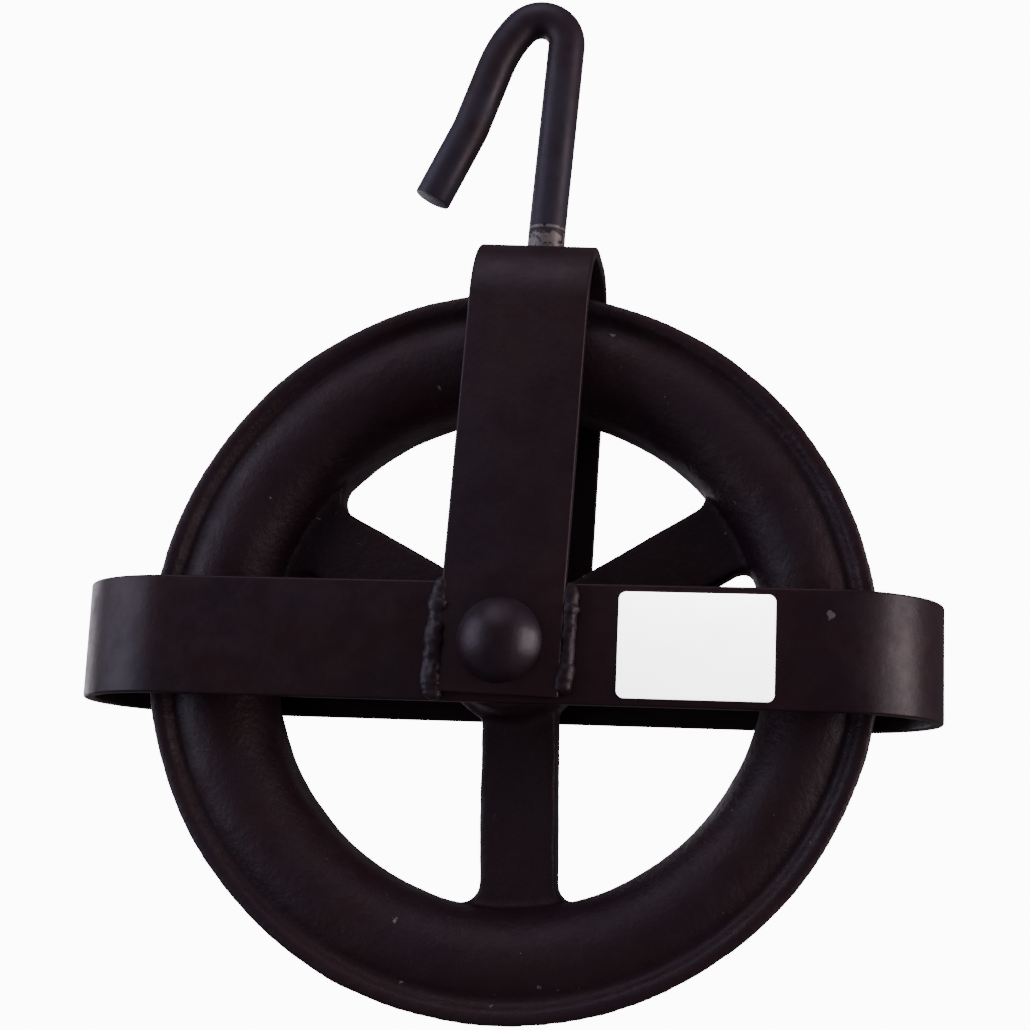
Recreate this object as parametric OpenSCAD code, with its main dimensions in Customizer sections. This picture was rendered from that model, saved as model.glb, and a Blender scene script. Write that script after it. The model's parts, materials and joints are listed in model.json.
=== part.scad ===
// Hanging sheave block: a spoked cast-iron rope wheel in a bent flat-bar yoke, with a guard band round
// the rim at axle height and a swivel hook through the crown of the yoke.
// The origin is the seat of the hook, where the supporting bar bears. +Z is up, the front faces -Y and
// the wheel turns about an axis along Y.

/* [Sheave] */
// Diameter over the two lips of the rim
sheave_d = 201.5; // [180:0.5:210]
// Width over the two lips
rim_w = 41; // [36:0.5:44]
// Radius of the rope groove's round bottom, for rope up to twice this
groove_r = 13; // [8:0.5:14]
// Radius of the rim's inner edge, where the windows end
window_r = 70; // [66:0.5:72]
// Width of each spoke
spoke_w = 21.2; // [16:0.2:26]
// Thickness of the spokes, along the axle
spoke_t = 10; // [6:0.5:14]
// Fillet where a spoke runs into the rim
spoke_fillet = 5; // [2:0.5:8]
// Diameter of the hub
hub_d = 36; // [30:1:40]
// Length of the hub
hub_l = 50.8; // [46:0.2:51]
// How far the spokes lie off the rim's centre, along X at rest, from a shifted core in the casting
spoke_shift = 1.8; // [0:0.1:3]
// How far the wheel is turned at rest
rest_turn = 3.5; // [-60:0.5:60]

/* [Yoke and guard] */
// Width of the yoke's flat bar
yoke_w = 33.5; // [28:0.5:38]
// Thickness of both flat bars
bar_t = 3.2; // [2.5:0.1:4]
// Height of the crown's top above the axle
crown_z = 117.5; // [110:0.5:125]
// Outside radius of the crown's two bends
crown_r = 22; // [8:0.5:26]
// Half the yoke's outside depth just below the crown's bends
crown_half_d = 29; // [27:0.5:33]
// Height above the axle where the legs stop sloping
knee_z = 18; // [17:0.5:30]
// How far the legs reach below the axle
leg_drop = 14.5; // [12:0.5:16]
// Length of the guard band over its round ends
guard_l = 242; // [236:1:260]
// Outside depth of the guard band
guard_d = 62; // [60:0.5:66]
// Height of the guard band's flat bar
guard_h = 32.5; // [25:0.5:38]
// How far the guard band sits off the axle, along X
guard_shift = -2.5; // [-4:0.5:4]
// Angle at which the guard band was welded out of square, in degrees
guard_tilt = 1.8; // [-3:0.1:3]
// Leg size of the fillet welds
weld_r = 4; // [3:0.1:5]

/* [Axle] */
// Diameter of the rivet's shank
rivet_d = 12.7; // [10:0.1:14]
// Diameter of the rivet's button head
head_d = 23.4; // [20:0.2:26]
// Height of the button head
head_h = 9.5; // [7:0.5:11]
// Diameter of the head peened over at the back
peen_d = 20; // [18:0.5:24]
// Height of the peened head
peen_h = 6; // [4:0.5:8]
// Outside diameter of the hub's bush
bush_d = 19; // [16:0.5:22]
// Gap all round between the bush and the rivet
bush_gap = 0.1; // [0.02:0.01:0.2]

/* [Hook] */
// Diameter of the hook's round bar
rod_d = 11; // [9:0.5:12]
// Radius of the tight bend, at the bar's centre
bend_r = 8; // [7:0.5:10]
// Angle of the tight bend
bend_a = 141.5; // [130:0.5:150]
// Radius of the slack bend that follows it
slack_r = 35; // [25:1:45]
// Angle of the slack bend
slack_a = 23; // [10:1:30]
// Straight run after the slack bend
leg_run = 19; // [10:1:25]
// Radius of the small bend that turns the tip outwards
flare_r = 25; // [15:1:40]
// Angle of that small bend
flare_a = 6.5; // [0:0.5:15]
// Straight run from there to the cut tip
tip_run = 23.5; // [15:0.5:30]
// Lean of the shank above the crown, in degrees
shank_lean = 1.7; // [0.5:0.1:3]
// Length of the leaning shank
shank_run = 58; // [50:1:70]
// Height above the crown at which the lean begins
lean_start = 6.5; // [4:0.5:16]

/* [Hidden] */
$fn = 96;
overlap = 0.5;

// Hook: the seat is at the origin, straight above the tight bend's centre
seat_c = [0, -(bend_r - rod_d / 2)];
bend_start = seat_c + bend_r * unit(-shank_lean);
bend_end_a = bend_a - shank_lean;
bend_end = seat_c + bend_r * unit(bend_end_a);
slack_c = bend_end - slack_r * unit(bend_end_a);
slack_end_a = bend_end_a + slack_a;
slack_end = slack_c + slack_r * unit(slack_end_a);
flare_start = slack_end + leg_run * unit(slack_end_a + 90);
flare_c = flare_start + flare_r * unit(slack_end_a);
flare_end_a = slack_end_a - flare_a;
flare_end = flare_c - flare_r * unit(flare_end_a);
lean_top = bend_start - shank_run * unit(90 - shank_lean);
lean_r = 40;
lean_c = lean_top + lean_r * unit(-shank_lean);
// The shank's upright part stands over the axle
swivel_x = lean_c[0] - lean_r;
axle_z = lean_c[1] - lean_start - crown_z;
// Facets round the bent bar, and how much thinner it is than its round shank, which it starts inside
bar_sides = 24;
bar_step = 0.02;
bar_stations = concat(
    [[[swivel_x, lean_c[1] - 3], 90]],
    arc_stations(lean_c, lean_r, 0, -shank_lean, 1),
    arc_stations(seat_c, bend_r, -shank_lean, bend_a, 14),
    [for (s = arc_stations(slack_c, slack_r, bend_end_a, slack_a, 5)) if (s[1] > bend_end_a + 91) s],
    arc_stations(flare_c, flare_r, slack_end_a, -flare_a, 2),
    [[flare_end + tip_run * unit(flare_end_a + 90), flare_end_a + 90]]
);

// Sheave
lip_r = sheave_d / 2;
bulge_r = 15;
bulge_c = window_r + bulge_r;
bulge_y = rim_w / 2 - bulge_r;
lip_w = 4.5;
lip_round = 0.8;
groove_c = window_r + 6.5 + groove_r;
groove_mouth = rim_w / 2 - 3.5;
hub_bore_d = bush_d;
spoke_root = 3;

// Yoke: the legs lap over the outside of the guard band
leg_y = guard_d / 2 + bar_t;
axle_hole_d = rivet_d + 0.2;
swivel_hole_d = rod_d + 0.7;
slope_len = norm([leg_y - crown_half_d, crown_z - crown_r - knee_z]);
slope_n = [crown_z - crown_r - knee_z, leg_y - crown_half_d] / slope_len;
bend_cz = crown_z - crown_r;
bend_cy = (leg_y * slope_n[0] + knee_z * slope_n[1] - crown_r - bend_cz * slope_n[1]) / slope_n[0];

// Swivel: a washer and the shank's upset end under the crown
swivel_gap = 0.4;
swivel_washer_d = 18;
swivel_washer_t = 2;
upset_d = 16;
upset_h = 4.4;
washer_top = crown_z - bar_t - swivel_gap;

// Axle
thrust_t = 2;
thrust_d = 32;
peen_washer_d = 26;
peen_washer_t = 2;

// Label, on the front of the guard band
label_w = 41.5;
label_h = 28.4;
label_t = 0.3;
label_x = 54.5;
label_corner = 2;

function unit(a) = [cos(a), sin(a)];
// Stations along an arc of the bar that turns left by a from the radius at angle a0, or right if a < 0
function arc_stations(c, r, a0, a, steps) = let (side = a < 0 ? -1 : 1)
    [for (i = [0 : steps]) [c + side * r * unit(a0 + a * i / steps), a0 + a * i / steps + 90]];
function ring_point(s, r, t) = [
    s[0][0] + r * cos(t) * sin(s[1]), r * sin(t), s[0][1] - r * cos(t) * cos(s[1])
];
// Inset outline points of the yoke's right half, from the leg's foot up to the crown
function knee_point(inset) = [leg_y - inset, knee_z - inset * slope_n[1] / (1 + slope_n[0])];
function bend_point(inset) = [bend_cy, bend_cz] + (crown_r - inset) * slope_n;
function half_outline(inset) = [
    [leg_y - inset, -leg_drop], knee_point(inset), bend_point(inset),
    [bend_cy, crown_z - inset]
];
function flip(points) = [for (i = [len(points) - 1 : -1 : 0]) [-points[i][0], points[i][1]]];

module at_axle() { translate([swivel_x, 0, axle_z]) children(); }
module on_guard() { at_axle() rotate([0, -guard_tilt, 0]) translate([guard_shift, 0, 0]) children(); }
// A cylinder along Y from y0 to y1
module along_y(d, y0, y1) { translate([0, y1, 0]) rotate([90, 0, 0]) cylinder(h = y1 - y0, d = d); }
// A dome whose flat side is on the XY plane and whose top is on +Z
module dome(d, h) {
    ball_r = (d * d / 4 + h * h) / (2 * h);
    intersection() {
        translate([0, 0, h - ball_r]) sphere(r = ball_r);
        cylinder(h = h + 1, d = d + 2);
    }
}

// Sweeps the round bar along its stations, each a centre in the XZ plane and a heading
module swept_bar(stations, r) {
    last = len(stations) - 1;
    points = [for (s = stations, j = [0 : bar_sides - 1]) ring_point(s, r, j * 360 / bar_sides)];
    sides = [for (i = [0 : last - 1], j = [0 : bar_sides - 1]) let (k = (j + 1) % bar_sides)
        [for (v = [[i, j], [i + 1, j], [i + 1, k], [i, k]]) v[0] * bar_sides + v[1]]];
    start_cap = [for (j = [0 : bar_sides - 1]) j];
    end_cap = [for (j = [bar_sides - 1 : -1 : 0]) last * bar_sides + j];
    polyhedron(points, concat(sides, [start_cap, end_cap]), convexity = 8);
}

module hook() {
    shank_top = lean_c[1] - axle_z;
    head_z = washer_top - swivel_washer_t;
    color("#241d22") {
        swept_bar(bar_stations, rod_d / 2 - bar_step);
        at_axle() translate([0, 0, head_z - 1]) cylinder(h = shank_top - head_z + 1, d = rod_d);
        at_axle() translate([0, 0, head_z]) mirror([0, 0, 1]) dome(upset_d, upset_h);
    }
}

module swivel_washer() {
    color("#6e6a68") at_axle() translate([0, 0, washer_top - swivel_washer_t])
        washer(swivel_washer_d, rod_d, swivel_washer_t);
}

module washer(d, hole, t) {
    difference() {
        cylinder(h = t, d = d);
        translate([0, 0, -overlap]) cylinder(h = t + 2 * overlap, d = hole);
    }
}

// Outline of the yoke in the YZ plane, drawn inset by the given amount
module yoke_outline(inset) {
    polygon(concat(half_outline(inset), flip(half_outline(inset))));
    for (side = [-1, 1]) translate([side * bend_cy, bend_cz]) circle(r = crown_r - inset);
}

module yoke() {
    color("#2a2026") at_axle() difference() {
        rotate([90, 0, 90]) linear_extrude(height = yoke_w, center = true) difference() {
            yoke_outline(0);
            union() {
                yoke_outline(bar_t);
                translate([-leg_y + bar_t, -leg_drop - overlap])
                    square([2 * (leg_y - bar_t), leg_drop + overlap]);
            }
        }
        along_y(axle_hole_d, -leg_y - overlap, leg_y + overlap);
        translate([0, 0, crown_z - 2 * bar_t]) cylinder(h = 3 * bar_t, d = swivel_hole_d);
    }
}

module racetrack(l, d) {
    square([l - d, d], center = true);
    for (side = [-1, 1]) translate([side * (l - d) / 2, 0]) circle(d = d);
}

module guard_band() {
    color("#2a2026") difference() {
        on_guard() linear_extrude(height = guard_h, center = true) difference() {
            racetrack(guard_l, guard_d);
            racetrack(guard_l - 2 * bar_t, guard_d - 2 * bar_t);
        }
        at_axle() along_y(axle_hole_d, -leg_y, leg_y);
    }
}

// One fillet weld down the edge of a leg: x_side is -1 or 1, y_side is -1 at the front
module weld(x_side, y_side) {
    reach = guard_h / 2 - 1;
    color("#231b20") at_axle()
        translate([x_side * yoke_w / 2, y_side * guard_d / 2, 0])
            intersection() {
                translate([0, 0, -leg_drop]) cylinder(h = leg_drop + reach, r = weld_r);
                translate([x_side > 0 ? 0 : -2 * weld_r, y_side > 0 ? 0 : -2 * weld_r, -2 * reach])
                    cube([2 * weld_r, 2 * weld_r, 4 * reach]);
            }
}
module weld_front_left() { weld(-1, -1); }
module weld_front_right() { weld(1, -1); }
module weld_back_left() { weld(-1, 1); }
module weld_back_right() { weld(1, 1); }

module label() {
    inner_w = label_w - 2 * label_corner;
    inner_h = label_h - 2 * label_corner;
    color("#eef0f4") on_guard() translate([label_x, -guard_d / 2, 0]) rotate([90, 0, 0])
        linear_extrude(height = label_t) {
            square([label_w, inner_h], center = true);
            square([inner_w, label_h], center = true);
            for (x = [-1, 1], y = [-1, 1])
                translate([x * inner_w / 2, y * inner_h / 2]) circle(r = label_corner);
        }
}

module axle_rivet() {
    color("#241d22") at_axle() {
        along_y(rivet_d, -leg_y, leg_y + peen_washer_t);
        translate([0, -leg_y, 0]) rotate([90, 0, 0]) dome(head_d, head_h);
        translate([0, leg_y + peen_washer_t, 0]) rotate([-90, 0, 0]) dome(peen_d, peen_h);
    }
}

module peen_washer() {
    color("#2a2026") at_axle() translate([0, leg_y, 0]) rotate([-90, 0, 0])
        washer(peen_washer_d, rivet_d, peen_washer_t);
}

module thrust_washer(side) {
    color("#77716c") at_axle() translate([0, side * (guard_d / 2 - bar_t), 0]) rotate([side * 90, 0, 0])
        washer(thrust_d, axle_hole_d, thrust_t);
}
module thrust_washer_front() { thrust_washer(-1); }
module thrust_washer_back() { thrust_washer(1); }

module hub_bush() {
    color("#8a7a55") at_axle() difference() {
        along_y(bush_d, -hub_l / 2, hub_l / 2);
        along_y(rivet_d + 2 * bush_gap, -hub_l, hub_l);
    }
}

// Cross-section of the rim: x is the distance from the axle, y is along it
module rim_section() {
    difference() {
        union() {
            for (side = [-1, 1]) translate([bulge_c, side * bulge_y]) circle(r = bulge_r);
            translate([window_r, -bulge_y]) square([2 * bulge_r - lip_w, 2 * bulge_y]);
            for (side = [-1, 1]) polygon([
                [bulge_c, 0], [bulge_c + 8.5, side * (rim_w / 2 - 2.6)],
                [lip_r - lip_w, side * rim_w / 2], [lip_r - lip_round, side * rim_w / 2],
                [lip_r, side * (rim_w / 2 - lip_round)], [lip_r, 0]
            ]);
        }
        translate([groove_c, 0]) circle(r = groove_r);
        polygon([
            [groove_c, -groove_r], [lip_r + 1, -groove_mouth], [lip_r + 1, groove_mouth],
            [groove_c, groove_r]
        ]);
    }
}

// Fill between a spoke's edge and the rim, in the spoke's own XZ plane, leaving a round fillet. The spokes
// run into the rim by more than their shift
module spoke_corner() {
    fillet_x = spoke_w / 2 + spoke_fillet;
    fillet_z = sqrt(pow(window_r - spoke_fillet, 2) - fillet_x * fillet_x);
    root_r = window_r + spoke_root;
    reach = root_r / (window_r - spoke_fillet);
    difference() {
        polygon([
            [spoke_w / 2 - overlap, fillet_z], [fillet_x, fillet_z],
            [fillet_x * reach, fillet_z * reach], [fillet_x * reach, root_r],
            [spoke_w / 2 - overlap, root_r]
        ]);
        translate([fillet_x, fillet_z]) circle(r = spoke_fillet);
    }
}

module spoke() {
    rotate([90, 0, 0]) linear_extrude(height = spoke_t, center = true) {
        translate([-spoke_w / 2, 0]) square([spoke_w, window_r + spoke_root]);
        spoke_corner();
        mirror([1, 0]) spoke_corner();
    }
}

module sheave() {
    color("#1f191d") at_axle() rotate([0, -rest_turn, 0]) difference() {
        union() {
            rotate([90, 0, 0]) rotate_extrude() rim_section();
            rotate([0, rest_turn, 0]) translate([spoke_shift, 0, 0]) rotate([0, -rest_turn, 0])
                for (i = [0 : 2]) rotate([0, 180 + 120 * i, 0]) spoke();
            along_y(hub_d, -hub_l / 2, hub_l / 2);
        }
        along_y(hub_bore_d, -hub_l, hub_l);
    }
}

hook();
swivel_washer();
yoke();
guard_band();
weld_front_left();
weld_front_right();
weld_back_left();
weld_back_right();
label();
axle_rivet();
peen_washer();
thrust_washer_front();
thrust_washer_back();
hub_bush();
sheave();
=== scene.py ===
"""Hanging sheave block: a spoked cast wheel in a flat-bar yoke, with a guard band and a swivel hook.
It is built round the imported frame, in metres, with the hook's seat at the origin."""

import json
import math
import random

import bmesh
import bpy
from bpy.props import FloatProperty, FloatVectorProperty, IntProperty, PointerProperty, StringProperty
from mathutils import Matrix, Vector


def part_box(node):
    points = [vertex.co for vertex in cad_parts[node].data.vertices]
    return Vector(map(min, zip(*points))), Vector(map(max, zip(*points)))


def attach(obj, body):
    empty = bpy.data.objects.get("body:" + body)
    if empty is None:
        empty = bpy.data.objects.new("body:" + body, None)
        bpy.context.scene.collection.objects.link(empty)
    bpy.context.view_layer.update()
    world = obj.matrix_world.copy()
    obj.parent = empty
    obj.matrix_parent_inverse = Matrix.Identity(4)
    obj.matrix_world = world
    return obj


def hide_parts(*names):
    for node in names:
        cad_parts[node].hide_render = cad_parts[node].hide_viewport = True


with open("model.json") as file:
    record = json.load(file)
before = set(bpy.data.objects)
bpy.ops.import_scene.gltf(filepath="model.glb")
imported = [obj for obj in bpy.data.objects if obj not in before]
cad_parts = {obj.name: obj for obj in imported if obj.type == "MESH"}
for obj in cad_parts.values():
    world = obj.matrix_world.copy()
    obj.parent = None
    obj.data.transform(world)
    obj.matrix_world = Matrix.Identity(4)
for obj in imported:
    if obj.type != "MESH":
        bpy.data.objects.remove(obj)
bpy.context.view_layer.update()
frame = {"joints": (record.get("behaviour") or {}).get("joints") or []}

bl_info = {
    "name": "Hanging Sheave Block",
    "version": (1, 0, 0),
    "blender": (4, 5, 0),
    "location": "3D View > Sidebar > Sheave Block",
    "description": "Builds a rope pulley with a cast wheel, a welded guard band and a swivel hook",
    "category": "Add Mesh",
}

MM = 0.001
JOINTS = {joint["name"]: joint for joint in frame["joints"]}
AXLE = Vector(JOINTS["sheave_spin"]["pos_m"])
SWIVEL = Vector(JOINTS["hook_swivel"]["pos_m"])
# A left turn along a bent bar, seen from the side that each bar is drawn from
FRONT_TURN = Vector((0, -1, 0))
SIDE_TURN = Vector((-1, 0, 0))
TOP_TURN = Vector((0, 0, 1))


def span(node_name, axis):
    """Size of a CAD node along an axis."""
    low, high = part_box(node_name)
    return high[axis] - low[axis]


def size(name, description, default):
    """A length property."""
    return FloatProperty(name=name, description=description, default=default, unit="LENGTH", precision=4)


def angle(name, description, degrees):
    """An angle property."""
    return FloatProperty(name=name, description=description, default=math.radians(degrees), unit="ROTATION")


def power(name, description, watts):
    """A property for a light's power."""
    return FloatProperty(name=name, description=description, default=watts, unit="POWER")


def paint(name, description, default):
    """A colour property, held as an sRGB hex value."""
    return StringProperty(name=name, description=description, default=default)


class SheaveSizes(bpy.types.PropertyGroup):
    """Sizes of the cast wheel."""

    lip_r: size("Lip radius", "Radius over the two lips", span("sheave", 2) / 2)
    rim_w: size("Rim width", "Width over the two lips", 41 * MM)
    groove_r: size("Groove radius", "Radius of the rope groove's round bottom", 13 * MM)
    web: size("Rim thickness", "Metal between a window and the bottom of the groove", 6.5 * MM)
    window_r: size("Window radius", "Radius at which the windows end", 70 * MM)
    bulge_r: size("Bulge radius", "Radius of the rim's rounded sides", 15 * MM)
    lip_w: size("Lip width", "Width of the flat band round each lip", 4.2 * MM)
    spoke_w: size("Spoke width", "Width of each spoke", 21.2 * MM)
    spoke_t: size("Spoke thickness", "Thickness of each spoke", 10.4 * MM)
    fillet_r: size("Fillet", "Fillet where a spoke meets the rim", 5 * MM)
    hub_r: size("Hub radius", "Outside radius of the hub", 18 * MM)
    hub_l: size("Hub length", "Length of the hub", span("sheave", 1))
    bore_r: size("Bore radius", "Radius of the bore that holds the bush", 9.5 * MM)
    core_shift: size("Core shift", "How far the spokes lie off the rim's centre", 1.8 * MM)
    turn: angle("Turn", "How far the wheel is turned at rest", 3.5)
    spokes: IntProperty(name="Spokes", description="Number of spokes", default=3, min=2, max=8)


class BarSizes(bpy.types.PropertyGroup):
    """Sizes of the yoke, the guard band and the welds."""

    thick: size("Bar thickness", "Thickness of both flat bars", 3.2 * MM)
    edge_r: size("Edge radius", "Rounding of the rolled edges", 0.7 * MM)
    yoke_w: size("Yoke width", "Width of the yoke's bar", span("yoke", 0))
    yoke_d: size("Yoke depth", "Outside depth of the yoke at its legs", span("yoke", 1))
    crown_d: size("Crown depth", "Outside depth of the yoke below its bends", 58 * MM)
    crown_r: size("Crown radius", "Outside radius of the crown's bends", 22 * MM)
    knee: size("Knee height", "Height above the axle where the legs start to slope", 18 * MM)
    guard_l: size("Guard length", "Length of the guard band", 242 * MM)
    guard_d: size("Guard depth", "Outside depth of the guard band", 62 * MM)
    guard_h: size("Guard height", "Height of the guard band", 32.5 * MM)
    shift: size("Guard shift", "How far the guard band sits off the axle", -2.5 * MM)
    tilt: angle("Guard tilt", "How far out of square the guard band is welded", 1.8)
    bead_r: size("Bead radius", "Radius of a weld bead", 2.7 * MM)
    ripple: size("Ripple", "Length of one ripple of a weld bead", 2.6 * MM)


class HookSizes(bpy.types.PropertyGroup):
    """Sizes of the hook's bent bar."""

    rod_d: size("Bar diameter", "Diameter of the round bar", 11 * MM)
    lean: angle("Lean", "Lean of the shank above the crown", 1.7)
    lean_start: size("Lean start", "Height above the crown at which the lean begins", 6.5 * MM)
    lean_r: size("Lean radius", "Radius of the bend into the lean", 40 * MM)
    shank: size("Shank", "Length of the leaning shank", 58 * MM)
    bend_r: size("Bend radius", "Radius of the tight bend at the bar's centre", 8 * MM)
    bend: angle("Bend", "Angle of the tight bend", 141.5)
    slack_r: size("Slack radius", "Radius of the bend after it", 35 * MM)
    slack: angle("Slack bend", "Angle of the bend after it", 23)
    leg: size("Leg", "Straight run after the bends", 19 * MM)
    flare_r: size("Flare radius", "Radius of the bend that turns the tip out", 25 * MM)
    flare: angle("Flare", "Angle of the bend that turns the tip out", 6.5)
    tip: size("Tip", "Straight run up to the cut tip", 23.5 * MM)
    bare: size("Bare band", "Height above the crown to which the paint has rubbed off", 6.2 * MM)


class AxleSizes(bpy.types.PropertyGroup):
    """Sizes of the rivet, its washers and the bush."""

    rivet_d: size("Rivet", "Diameter of the rivet's shank", 12.7 * MM)
    head_d: size("Head", "Diameter of the button head", span("axle_rivet", 0))
    head_h: size("Head height", "Height of the button head", 9.5 * MM)
    peen_d: size("Peened head", "Diameter of the head formed at the back", 20 * MM)
    peen_h: size("Peened height", "Height of the head formed at the back", 6 * MM)
    label_w: size("Label width", "Width of the sticker", span("label", 0) - 0.7 * MM)
    label_h: size("Label height", "Height of the sticker", 28.4 * MM)
    label_x: size("Label place", "Distance of the sticker's middle from the middle of the band", 54.5 * MM)


class Finishes(bpy.types.PropertyGroup):
    """Colours of the finishes, as sRGB hex values."""

    enamel: paint("Enamel", "Black stoving enamel where it is thick", "#26141f")
    enamel_thin: paint("Thin enamel", "Black enamel where it is thin and browner", "#31191f")
    enamel_cast: paint("Cast enamel", "Black enamel on the rough casting", "#2d1a25")
    # Painted highlight: this copy of the black enamel is lighter and bluer, standing in for the cool left
    # light that the round bar catches.
    enamel_round_painted_highlight: paint("Bar enamel, painted highlight", "Cooler black enamel on the round bar", "#3a3443")
    # Painted highlight: a lighter, greyer copy of the black enamel, standing in for the light that the domed
    # rivet and the weld beads catch; the greyness is not wear.
    enamel_rivet_painted_highlight: paint("Rivet enamel, painted highlight", "Greyer, worn enamel on the rivet and the welds", "#372e38")
    steel: paint("Steel", "Bare mild steel", "#8f8b88")
    fleck: paint("Fleck", "Grey primer where the enamel has flaked off", "#777270")
    rust: paint("Rust", "Thin brown rust at chips and worn edges", "#3a2218")
    bronze: paint("Bronze", "Bearing bronze of the bush", "#a5875a")
    label: paint("Label", "White vinyl sticker", "#f4f3f8")
    label_shade: paint("Label shade", "Faint greyer patches of the sticker", "#e6e2ec")
    floor: paint("Floor", "Pale studio floor", "#e9e8e6")
    floor_shade: paint("Floor shade", "Faint darker patches of the floor", "#dfdedc")


class StageSettings(bpy.types.PropertyGroup):
    """Floor, lights and camera."""

    drop: size("Floor drop", "Depth of the floor below the wheel", 750 * MM)
    left_power: power("Left light", "Power of the left light", 7.2)
    right_power: power("Right light", "Power of the right light", 7.3)
    top_power: power("Top light", "Power of the top light", 2.4)
    back_power: power("Back light", "Power of the back light", 6)
    sun: FloatProperty(name="Pale light", description="Strength of the light on floor and label", default=26)
    fill: FloatProperty(name="Fill", description="Strength of the even light from all round", default=0.12)
    white: FloatProperty(name="Backdrop", description="Brightness of the plain backdrop", default=12)
    lens: FloatProperty(name="Lens", description="Focal length", default=71.2, subtype="DISTANCE_CAMERA")
    camera_at: FloatVectorProperty(
        name="Camera", description="Camera's place, seen from the axle", subtype="TRANSLATION",
        default=(78.4 * MM, -566.3 * MM, -66.8 * MM))
    aim_at: FloatVectorProperty(
        name="Aim", description="Point that the camera faces, seen from the axle", subtype="TRANSLATION",
        default=(-3.2 * MM, 0, 40.4 * MM))
    roll: angle("Roll", "How far the camera is turned about its own axis", 4.3)


class PulleySettings(bpy.types.PropertyGroup):
    """Everything that a user would change."""

    sheave: PointerProperty(type=SheaveSizes)
    bars: PointerProperty(type=BarSizes)
    hook: PointerProperty(type=HookSizes)
    axle: PointerProperty(type=AxleSizes)
    finishes: PointerProperty(type=Finishes)
    stage: PointerProperty(type=StageSettings)


# ---------------------------------------------------------------------------------------------------------
# Mesh tools
# ---------------------------------------------------------------------------------------------------------


def verts_of(geometry):
    return [g for g in geometry if isinstance(g, bmesh.types.BMVert)]


def edges_of(geometry):
    return [g for g in geometry if isinstance(g, bmesh.types.BMEdge)]


def arc(centre, radius, start, end, steps):
    """Points of an arc in a section, with angles in degrees from the first axis towards the second."""
    angles = [math.radians(start + (end - start) * i / steps) for i in range(steps + 1)]
    return [(centre[0] + radius * math.cos(a), centre[1] + radius * math.sin(a)) for a in angles]


def mirrored(points):
    """The points in turn, and then their mirror image in the first axis, which closes the outline."""
    return points + [(p[0], -p[1]) for p in reversed(points) if abs(p[1]) > 1e-9]


def outline_face(bm, points, place):
    """A flat face through the points of an outline, each taken to its place in space."""
    return bm.faces.new([bm.verts.new(place(*p)) for p in points])


def turned(bm, points, steps):
    """Spins a closed section of (radius, along) points round the Y axis."""
    face = outline_face(bm, points, lambda r, along: Vector((r, along, 0)))
    ring = list(face.edges)
    corners = list(face.verts)
    bmesh.ops.delete(bm, geom=[face], context="FACES_ONLY")
    bmesh.ops.spin(bm, geom=ring + corners, cent=(0, 0, 0), axis=(0, 1, 0), angle=2 * math.pi, steps=steps,
                   use_merge=True, use_duplicate=False)


def round_ring(bm, radius, sides):
    """A ring in the XY plane, as the section of a round bar."""
    made = bmesh.ops.create_circle(bm, cap_ends=False, segments=sides, radius=radius)
    return list({e for v in made["verts"] for e in v.link_edges})


def flat_ring(bm, width, thick, corner):
    """A rounded rectangle in the XY plane, as the section of a flat bar."""
    made = bmesh.ops.create_grid(bm, x_segments=1, y_segments=1, size=0.5)
    bmesh.ops.scale(bm, vec=(width, thick, 1), verts=made["verts"])
    bmesh.ops.bevel(bm, geom=made["verts"], offset=corner, offset_type="OFFSET", segments=4, profile=0.5,
                    affect="VERTICES", material=-1)
    faces = list(bm.faces)
    edges = list(bm.edges)
    bmesh.ops.delete(bm, geom=faces, context="FACES_ONLY")
    return edges


def swept(bm, ring, start, heading, normal, moves):
    """Carries a ring of edges along a bent bar. Each move is (length,) for a straight run, or
    (radius, angle) for a bend to the left about the normal, or to the right where the angle is negative."""
    at = Vector(start)
    along = Vector(heading)
    side = normal.cross(along)
    place = Matrix((side, normal, along)).transposed().to_4x4()
    corners = list({v for e in ring for v in e.verts})
    bmesh.ops.transform(bm, matrix=Matrix.Translation(at) @ place, verts=corners)
    first = ring
    for move in moves:
        if len(move) == 1:
            made = bmesh.ops.extrude_edge_only(bm, edges=ring)["geom"]
            corners = set(verts_of(made))
            bmesh.ops.translate(bm, vec=along * move[0], verts=list(corners))
            ring = [e for e in edges_of(made) if corners.issuperset(e.verts)]
            at = at + along * move[0]
        else:
            radius, bend = move
            centre = at + normal.cross(along) * math.copysign(radius, bend)
            steps = max(2, round(abs(math.degrees(bend)) / 5))
            corners = list({v for e in ring for v in e.verts})
            made = bmesh.ops.spin(bm, geom=ring + corners, cent=centre, axis=normal, angle=bend, steps=steps,
                                  use_merge=False, use_duplicate=False)["geom_last"]
            ring = edges_of(made)
            turn = Matrix.Rotation(bend, 3, normal)
            at = centre + turn @ (at - centre)
            along = turn @ along
    return first, ring


def closed(bm):
    """Merges doubles and points all faces outwards."""
    bmesh.ops.remove_doubles(bm, verts=bm.verts, dist=0.002 * MM)
    bmesh.ops.recalc_face_normals(bm, faces=bm.faces)


def capped(bm, rings, chamfer):
    """Closes the two ends of a bar and breaks their edges."""
    for ring in rings:
        bmesh.ops.edgeloop_fill(bm, edges=ring)
    closed(bm)
    ends = [e for e in bm.edges if any(len(f.verts) > 4 for f in e.link_faces)]
    bmesh.ops.bevel(bm, geom=ends, offset=chamfer, offset_type="OFFSET", segments=2, profile=0.5,
                    affect="EDGES", clamp_overlap=True, material=-1)


def raw_object(name, bm):
    """An object that holds the bmesh, with its place in its mesh."""
    mesh = bpy.data.meshes.new(name)
    bm.to_mesh(mesh)
    bm.free()
    made = bpy.data.objects.new(name, mesh)
    bpy.context.scene.collection.objects.link(made)
    return made


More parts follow.
